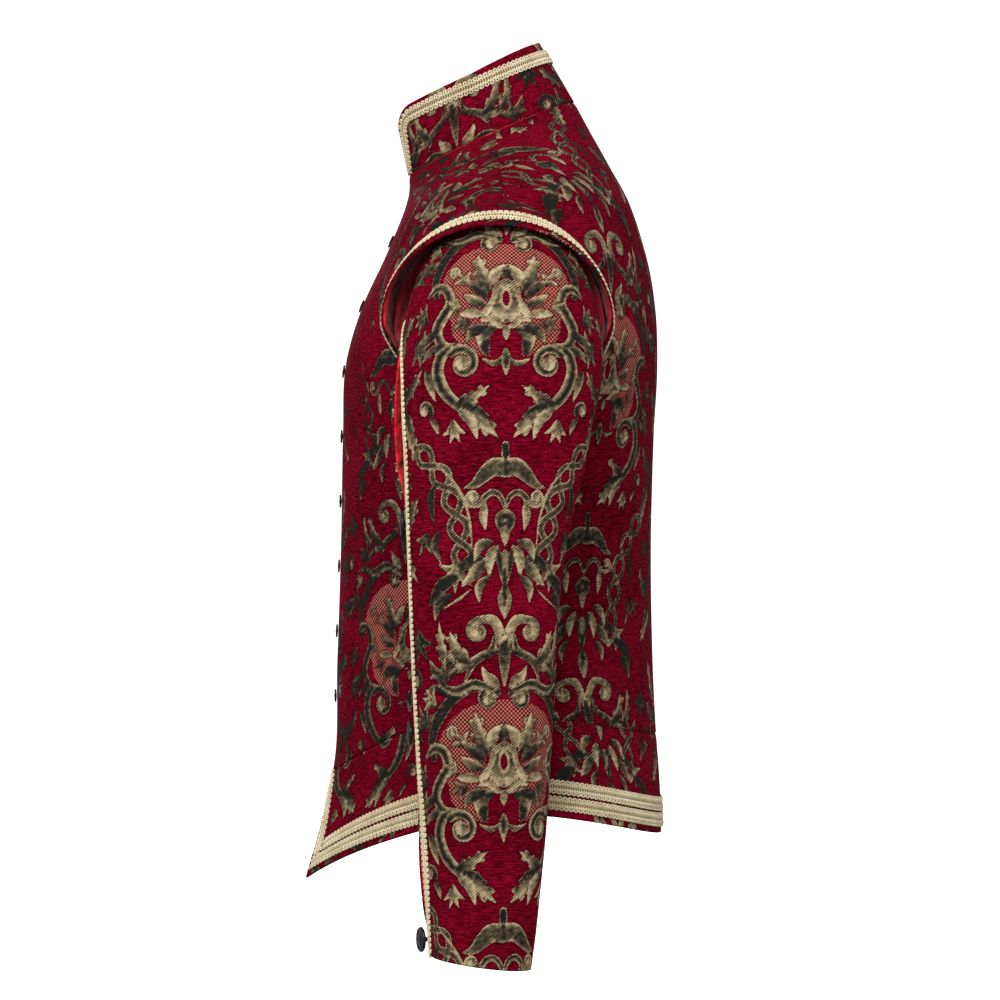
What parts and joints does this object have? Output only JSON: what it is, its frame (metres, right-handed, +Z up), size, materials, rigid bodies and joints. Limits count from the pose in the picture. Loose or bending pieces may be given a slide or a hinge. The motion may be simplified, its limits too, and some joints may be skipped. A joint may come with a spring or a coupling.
{
  "type": "costume coat",
  "caption": "Doublet-style costume coat in brocade: fitted bodice, pointed basque, open stand collar, shoulder wings and sleeves open along the front seam, edged with gimp braid",
  "frame": {"origin": "midway between the shoulders, level with the side of the neck, where the wearer's shoulders carry the coat", "axes": "+Z up, the wearer faces -Y, the wearer's left arm is at +X"},
  "size_m": [0.59, 0.3142, 0.7886],
  "materials": {
    "brocade": "crimson chenille brocade with woven beige and dark olive scrolls",
    "satin": "bright red satin lining, soft sheen",
    "braid": "cream gimp braid with looped edges",
    "button": "glossy black button with a raised rim"
  },
  "bodies": {
    "root": {"front_left": "brocade", "front_right": "brocade", "back_left": "brocade", "back_right": "brocade", "basque_front_left": "brocade", "basque_front_right": "brocade", "basque_back": "brocade", "hem_braid_lower": "braid", "hem_braid_upper": "braid", "basque_braid_left": "braid", "basque_braid_right": "braid", "collar": "brocade", "collar_braid": "braid", "wing_left": "brocade", "wing_lining_left": "satin", "wing_braid_left": "braid", "sleeve_outer_left": "brocade", "sleeve_under_left": "brocade", "sleeve_lining_left": "satin", "sleeve_braid_left": "braid", "sleeve_button_left_1": "button", "sleeve_button_left_2": "button", "sleeve_button_left_3": "button", "wing_right": "brocade", "wing_lining_right": "satin", "wing_braid_right": "braid", "sleeve_outer_right": "brocade", "sleeve_under_right": "brocade", "sleeve_lining_right": "satin", "sleeve_braid_right": "braid", "sleeve_button_right_1": "button", "sleeve_button_right_2": "button", "sleeve_button_right_3": "button", "front_button_1": "button", "front_button_2": "button", "front_button_3": "button", "front_button_4": "button", "front_button_5": "button", "front_button_6": "button", "front_button_7": "button", "front_button_8": "button"}
  },
  "joints": []
}
